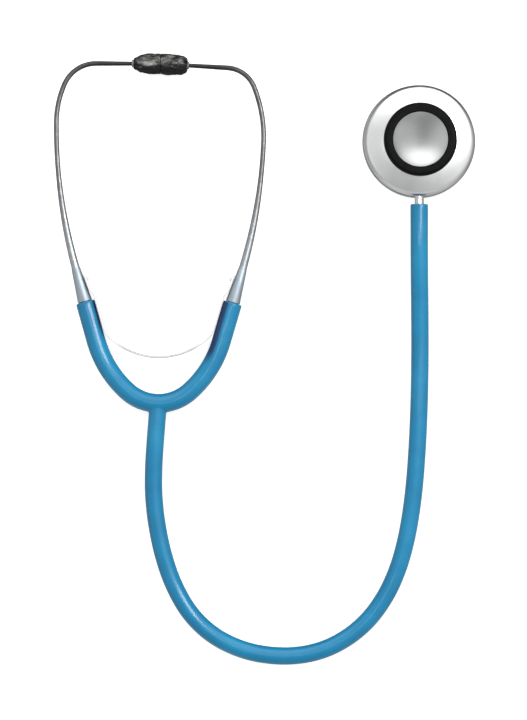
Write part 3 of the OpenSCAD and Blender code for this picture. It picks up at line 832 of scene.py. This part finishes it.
def make_spring_half(name, side):
    """Half of the spring, from the middle of its bridge to the tab on one ferrule."""
    hip = shifted(bend(ARM_MOUTH, (0, -SPRING_LEG)), SPRING_OFF)
    arm_turn = math.degrees(ARM_MOUTH[2])
    bow, knee = math.radians(SPRING_BOW_TURN), math.radians(arm_turn)
    bow_r = SPRING_KNEE_R + (hip[0] - SPRING_KNEE_R * math.sin(knee)) / math.sin(bow)
    low = hip[1] - bow_r * (1 - math.cos(bow)) - SPRING_KNEE_R * (math.cos(bow) - math.cos(knee))
    moves = [
        (bow_r, SPRING_BOW_TURN), (SPRING_KNEE_R, arm_turn - SPRING_BOW_TURN), (0, SPRING_LEG + JOG_OVER),
        (JOG_R, -JOG_TURN), (0, JOG_RUN), (JOG_R, JOG_TURN - FERRULE_SLOPE), (0, SPRING_TAB),
    ]
    start = (0, low, 0)
    poses = walk(start, moves, step_turn=2, step_len=0.001)
    route = Route([at_arms(pose, side) for pose in poses])
    stations = [(s, 1) for s in spread(0, route.length - SPRING_ROUND, SPRING_STEP)]
    stations.append((route.length, SPRING_END))
    band = sweep(f"{name}_spring_half", route, stations, spring_section())
    half = dress(band, "spring_steel", "leaf_spring")
    middle = at_arms(start, side)
    fade = (BRIDGE_REACH, BRIDGE_REACH - BRIDGE_FADE)
    mark(half, "bridge", lambda vert: share((vert.co - middle).length, *fade))
    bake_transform(half)


# Ear pieces

def tube_poses(name):
    """Poses of an ear tube from its socket to the end of its shoulder."""
    start = bend(ARM_MOUTH, (0, FERRULE_LEN - FERRULE_SOCKET))
    return walk(start, [(0, FERRULE_SOCKET), *TUBE_BENDS[name]])


TIP_LEVEL = tube_poses("left")[-1][1]


def on_tip(name, out, z=TIP_R):
    """Point on an ear tip's axis, at a distance out from the tips' meeting point."""
    dip = TIP_DIP[name]
    return on_table(out * math.cos(dip), TIP_LEVEL - out * math.sin(dip), z, SIDES[name])


def tube_radius(s, length):
    """Radius of an ear tube at a distance from its foot."""
    base, bow, tip = TUBE_R
    taper_end = FERRULE_SOCKET + TUBE_TAPER
    if s < taper_end:
        return base + (bow - base) * share(s, FERRULE_SOCKET, taper_end)
    return bow + (tip - bow) * share(s, length - TUBE_THIN, length)


def make_ear_tube(name, side):
    """Bent ear tube, which rises a little from the ferrule to the ear tip."""
    bent = [at_arms(pose, side) for pose in tube_poses(name)]
    shoulder_out = (bent[-1] - on_tip(name, 0, ARM_R)).length
    ends = spread(-shoulder_out, -TIP_FACE - TIP_LEN + SLEEVE_SHOW, TUBE_END_STEP)[1:]
    flat = Route(bent + [on_tip(name, -out, ARM_R) for out in ends])
    rise = TIP_R - ARM_R
    points = [point + UP * rise * at / flat.length for point, at in zip(flat.points, flat.at)]
    route = Route(points)
    stations = [(s, tube_radius(s, route.length)) for s in spread(0, route.length, TUBE_STEP)]
    tube = sweep(f"{name}_tube_bow", route, stations, circle(EAR_TUBE_SIDES))
    mark(tube, "to_tip", lambda vert: share((vert.co - points[-1]).length, *TIP_REFLECTION_FADE))
    mark(tube, "to_ferrule", lambda vert: share((vert.co - points[0]).length, *PALE_FADE))
    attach(dress(tube, "tube_steel", f"{name}_ear_tube"), f"{name}_ear")


def make_ferrule(name, side):
    """Tapered ferrule with a rolled foot and a rounded top, on its arm's mouth."""
    foot_r = FERRULE_BASE_R - FERRULE_ROUND
    top_round = FERRULE_ROUND / 2
    socket_low = FERRULE_LEN - SOCKET_SHOWN
    profile = [(PLUG_R, -PLUG_LEN), (PLUG_R, FERRULE_FOOT), (foot_r, FERRULE_FOOT)]
    profile += arc(foot_r, FERRULE_FOOT + FERRULE_ROUND, FERRULE_ROUND, -90, 0, steps=4)
    profile += arc(FERRULE_TOP_R - top_round, FERRULE_LEN - top_round, top_round, 0, 90, steps=4)
    profile += [(SOCKET_R, FERRULE_LEN), (SOCKET_R, socket_low)]
    profile += [(PLUG_BORE_R, socket_low), (PLUG_BORE_R, -PLUG_LEN)]
    at = at_arms(ARM_MOUTH, side)
    along = at_arms(bend(ARM_MOUTH, (0, 1)), side) - at
    cone = lathe(f"{name}_ferrule_cone", profile, facing(at, along, "X"), FERRULE_SIDES)
    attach(dress(cone, "ferrule_metal", f"{name}_ferrule"), f"{name}_ear")


def tip_profile(name):
    """Outline of an ear tip before its lumps, as (radius, height) points."""
    shares = TIP_SHARES[name] + FACE_SHARES
    outline = smooth_line([(along * TIP_LEN, r * TIP_R * TIP_CORE, 0) for along, r in shares], TIP_SPLINE)
    reach = (TIP_LEN + TIP_BULGE) / TIP_LEN
    return [(max(p.y, 0), reach * min(max(p.x, 0), TIP_LEN)) for p in outline]


def make_ear_tip(name, side):
    """Lumpy black ear tip, with painted sheen on its top and a face that lies square to the other tip's."""
    root = on_tip(name, TIP_FACE + TIP_LEN)
    meet = on_tip(name, 0)
    place = facing(root, meet - root, "Y")
    tip = lathe(f"{name}_tip_lump", tip_profile(name), place, TIP_SIDES, sharp=180)
    painted_sheen = tip.data.attributes.new("painted_sheen", "FLOAT", "POINT")
    pad_at = on_tip(name, PAD_OUT) - Vector((0, PAD_DOWN, 0))
    square = side * math.tan(TIP_DIP[name])
    for vert, value in zip(tip.data.vertices, painted_sheen.data):
        p = vert.co.copy()
        normal = vert.normal
        from_root = (p - root).length
        from_face = abs(p.x - meet.x)
        away = ((p.x - pad_at.x) / PAD_SIZE[0]) ** 2 + ((p.y - pad_at.y) / PAD_SIZE[1]) ** 2
        pad = math.exp(-away * away) if p.z > TIP_R and side < 0 else 0
        drawn = Vector((p.x * LUMP_STRETCH, p.y, p.z))
        lump = sum(height * noise.noise(drawn * scale) for height, scale in LUMPS)
        lump += TIP_GRAIN[0] * noise.noise(p * TIP_GRAIN[1])
        lump *= (1 - PAD_FLAT * pad) * share(from_root, 0, LUMP_ROOT) * share(from_face, *LUMP_FACE)
        vert.co = p + normal * lump
        vert.co.x -= square * (p.y - meet.y) * max(0, 1 - from_face / TIP_LEN)
        # Painted sheen on what faces up and back, plus the painted highlight pad
        high = share(normal.z, *SHEEN_UP) * share(normal.y, *SHEEN_BACK)
        blotch = min(max(noise.noise(drawn * BLOTCHES) * BLOTCH_GAIN + BLOTCH_LIFT, 0), 1)
        sheen = SHEEN_SHARE * high * (SHEEN_LEAST + (1 - SHEEN_LEAST) * blotch)
        value.value = min(1, pad + sheen) * share(from_root, *SHEEN_ROOT)
    tip.data.set_sharp_from_angle(angle=math.pi)
    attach(dress(tip, "tip_rubber", f"{name}_ear_tip"), f"{name}_ear")


make_junction()
for name, side in SIDES.items():
    make_arm(name, side)
    make_spring_half(name, side)
    make_ferrule(name, side)
    make_ear_tube(name, side)
    make_ear_tip(name, side)


# Chestpiece: the boxes of its solids, and the dish's curved seat in the drum

RIM_LOW, RIM_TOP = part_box("diaphragm_rim")
DRUM_LOW, DRUM_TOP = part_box("drum_body")
BELL_LOW, BELL_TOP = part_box("bell_ring")
CUP_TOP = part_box("bell_cup")[1]
RIM_IN_R = RIM_TOP.x - RIM_WALL
STEM_Z = HOSE_ROUTE[-1][2]
DISH_R = MOUTH_R + DISH_COVER
SEAT_R = (DISH_R**2 + DISH_DEPTH**2) / (2 * DISH_DEPTH)
SEAT_Z = DRUM_TOP.z - DISH_DEPTH + SEAT_R
SEAT_EDGE = -math.degrees(math.acos(DISH_R / SEAT_R))


def make_rim():
    """Rounded band round the drum's foot, with a lip under the diaphragm."""
    r, low, top = RIM_TOP.x, RIM_LOW.z, RIM_TOP.z
    lip_r = r - RIM_LIP
    shelf = low + RIM_LIP_H
    profile = [(lip_r, shelf), (lip_r, low + RIM_LIP_CUT), (lip_r + RIM_LIP_CUT, low)]
    profile += arc(r - RIM_EDGE_R, low + RIM_EDGE_R, RIM_EDGE_R, -90, 0)
    profile += arc(r - RIM_EDGE_R, top - RIM_EDGE_R, RIM_EDGE_R, 0, 90)
    profile += [(RIM_IN_R, top), (RIM_IN_R, shelf)]
    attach(dress(lathe("rim_band", profile), "rim_metal", "diaphragm_rim"), "chestpiece")


def drill_stem_bore(drum):
    """Cuts the stem's bore into the drum's side."""
    bore_r = STEM_R + STEM_GAP
    reach = 2 * RIM_TOP.x
    place = Matrix.Translation((0, 0, STEM_Z)) @ Matrix.Rotation(math.pi / 2, 4, "X")
    bore = lathe("stem_bore", [(0, 0), (bore_r, 0), (bore_r, reach), (0, reach)], place, BORE_SIDES)
    cut = drum.modifiers.new("stem_hole", "BOOLEAN")
    cut.object = bore
    cut.solver = "EXACT"
    drilled = evaluated_mesh(drum)
    drum.modifiers.clear()
    drum.data = drilled
    bpy.data.objects.remove(bore)


def make_drum():
    """Domed drum, with the dish's seat on top and the stem's bore in its side."""
    r = DRUM_TOP.x
    foot_r = RIM_IN_R - DRUM_GAP
    side_low = RIM_TOP.z + RIM_GAP
    side_top = STEM_Z + STEM_R + STEM_WALL
    edge_x = r - DRUM_EDGE_R
    dome_from = math.radians(90 - DOME_SLOPE)
    dome_x = edge_x + (DRUM_EDGE_R - DOME_R) * math.cos(dome_from)
    dome_z = side_top + (DRUM_EDGE_R - DOME_R) * math.sin(dome_from)
    dome_to = math.acos((NECK_R - dome_x) / DOME_R)
    profile = [(0, DRUM_LOW.z), (foot_r, DRUM_LOW.z), (foot_r, side_low)]
    profile += [(r - DRUM_CUT, side_low), (r, side_low + DRUM_CUT)]
    profile += arc(edge_x, side_top, DRUM_EDGE_R, 0, math.degrees(dome_from), steps=24)
    profile += arc(dome_x, dome_z, DOME_R, math.degrees(dome_from), math.degrees(dome_to), steps=24)[1:]
    profile += [(NECK_R, DRUM_TOP.z)] + arc(0, SEAT_Z, SEAT_R, SEAT_EDGE, -90, steps=16)
    drum = dress(lathe("drum_shell", profile), "chest_metal", "drum_body")
    drill_stem_bore(drum)
    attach(drum, "chestpiece")


def make_bell_ring():
    """Soft black ring, rounded over from its foot to its mouth."""
    r, low, top = BELL_TOP.x, BELL_LOW.z, BELL_TOP.z
    neck_r = NECK_R + BELL_GAP
    shelf = CUP_TOP.z + SEAT_GAP
    profile = [(neck_r, low), (r - BELL_FOOT_H, low)]
    profile += arc(r - BELL_FOOT_R, low + BELL_FOOT_H, BELL_FOOT_R, -60, 0, steps=5)
    profile += arc(r - BELL_ROUND, top - BELL_ROUND, BELL_ROUND, 0, 90, steps=14)
    profile += arc(MOUTH_R + BELL_LIP, top - BELL_LIP, BELL_LIP, 90, 180, steps=8)
    profile += [(MOUTH_R + BELL_GAP, shelf), (neck_r, shelf)]
    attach(dress(lathe("bell_tyre", profile), "black_rubber", "bell_ring"), "chestpiece")


def make_dish():
    """Thin curved dish, on its seat in the drum."""
    profile = arc(0, SEAT_Z + SEAT_GAP, SEAT_R, -90, SEAT_EDGE, steps=24)
    profile += [(CUP_TOP.x, DRUM_TOP.z + SEAT_GAP), (CUP_TOP.x, CUP_TOP.z)]
    face_r = SEAT_R - DISH_T
    face_edge = math.degrees(math.asin((CUP_TOP.z - SEAT_Z) / face_r))
    profile += arc(0, SEAT_Z, face_r, face_edge, -90, steps=40)
    dish = dress(lathe("dish_bowl", profile), "dish_metal", "bell_cup")
    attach(dish, "chestpiece")
    return dish


make_rim()
make_drum()
make_bell_ring()
dish = make_dish()


# Nodes whose solids show as they are

KEPT = {
    "stem": "stem_metal", "stem_o_ring": "black_rubber", "stem_clip": "clip_steel",
    "diaphragm": "diaphragm_plastic", "diaphragm_gasket": "black_rubber",
    "left_spring_rivet": "spring_steel", "right_spring_rivet": "spring_steel",
    "left_tip_sleeve": "sleeve_plastic", "right_tip_sleeve": "sleeve_plastic",
}
for name, look in KEPT.items():
    nodes[name].data.materials.clear()
    nodes[name].data.materials.append(LOOKS[look])


# Stage: a pale floor, a soft sky and two soft lamps

def make_floor():
    """A pale floor, which shows in no reflection and sends no light back."""
    corners = [(-1, -1), (1, -1), (1, 1), (-1, 1)]
    verts = [(x * FLOOR_SIZE, y * FLOOR_SIZE, 0) for x, y in corners]
    floor = mesh_piece("floor", verts, [(0, 1, 2, 3)])
    pale = material(
        "floor_pale", Roughness=0.9, Specular_IOR_Level=0.1, Emission_Strength=FLOOR_GLOW,
        Emission_Color=(1, 1, 1, 1))
    wire(pale, "Base Color", tone(pale, grain(pale, 3, 2), (0.93, 0.93, 0.93), (0.95, 0.95, 0.95)))
    floor.data.materials.append(pale)
    floor.visible_glossy = False
    floor.visible_diffuse = False
    return floor


def make_sky():
    """A pale sky, dim below the horizon, with soft patches. The upper patches end at the horizon."""
    world = bpy.data.worlds.new("sky")
    bpy.context.scene.world = world
    world.use_nodes = True
    place = node(world, "ShaderNodeTexCoord").outputs["Generated"]
    height = node(world, "ShaderNodeSeparateXYZ", {"Vector": place}).outputs["Z"]
    light = between(world, height, SKY_LOW, SKY_HIGH, *SKY_RISE)
    above = between(world, height, 0, 1, *HORIZON)
    for towards, start, end, strength in SKY_PATCHES:
        near = node(world, "ShaderNodeVectorMath", {0: place, 1: towards}, operation="DOT_PRODUCT")
        patch = between(world, near.outputs["Value"], 0, strength, start, end)
        if towards[2] > 0:
            patch = node(world, "ShaderNodeMath", {0: patch, 1: above}, operation="MULTIPLY").outputs["Value"]
        light = node(world, "ShaderNodeMath", {0: light, 1: patch}, operation="ADD").outputs["Value"]
    background = world.node_tree.nodes["Background"]
    world.node_tree.links.new(light, background.inputs["Strength"])
    background.inputs["Color"].default_value = (1, 1, 1, 1)


def make_light(name, at, aim, size, power, flagged):
    """A soft lamp, which flags keep off some pieces."""
    data = bpy.data.lights.new(name, "AREA")
    data.shape = "RECTANGLE"
    data.size, data.size_y = size
    data.energy = power
    light = add_object(name, data)
    light.location = at
    light.rotation_euler = (Vector(aim) - Vector(at)).to_track_quat("-Z", "Y").to_euler()
    shade = bpy.data.collections.new(f"{name}_flag")
    for piece in flagged:
        shade.objects.link(piece)
    for member in shade.collection_objects:
        member.light_linking.link_state = "EXCLUDE"
    light.light_linking.receiver_collection = shade


flagged = [dish, make_floor()]
make_sky()
make_light("key", at=(0.48, 0.15, 0.85), aim=MIDDLE, size=(0.2, 0.6), power=6.0, flagged=flagged)
make_light("top", at=(-0.1, -0.03, 1.6), aim=(-0.1, -0.031, 0), size=(1.0, 0.12), power=2.2, flagged=flagged)
bpy.context.scene.view_settings.view_transform = "Standard"
bpy.context.scene.view_settings.look = "None"
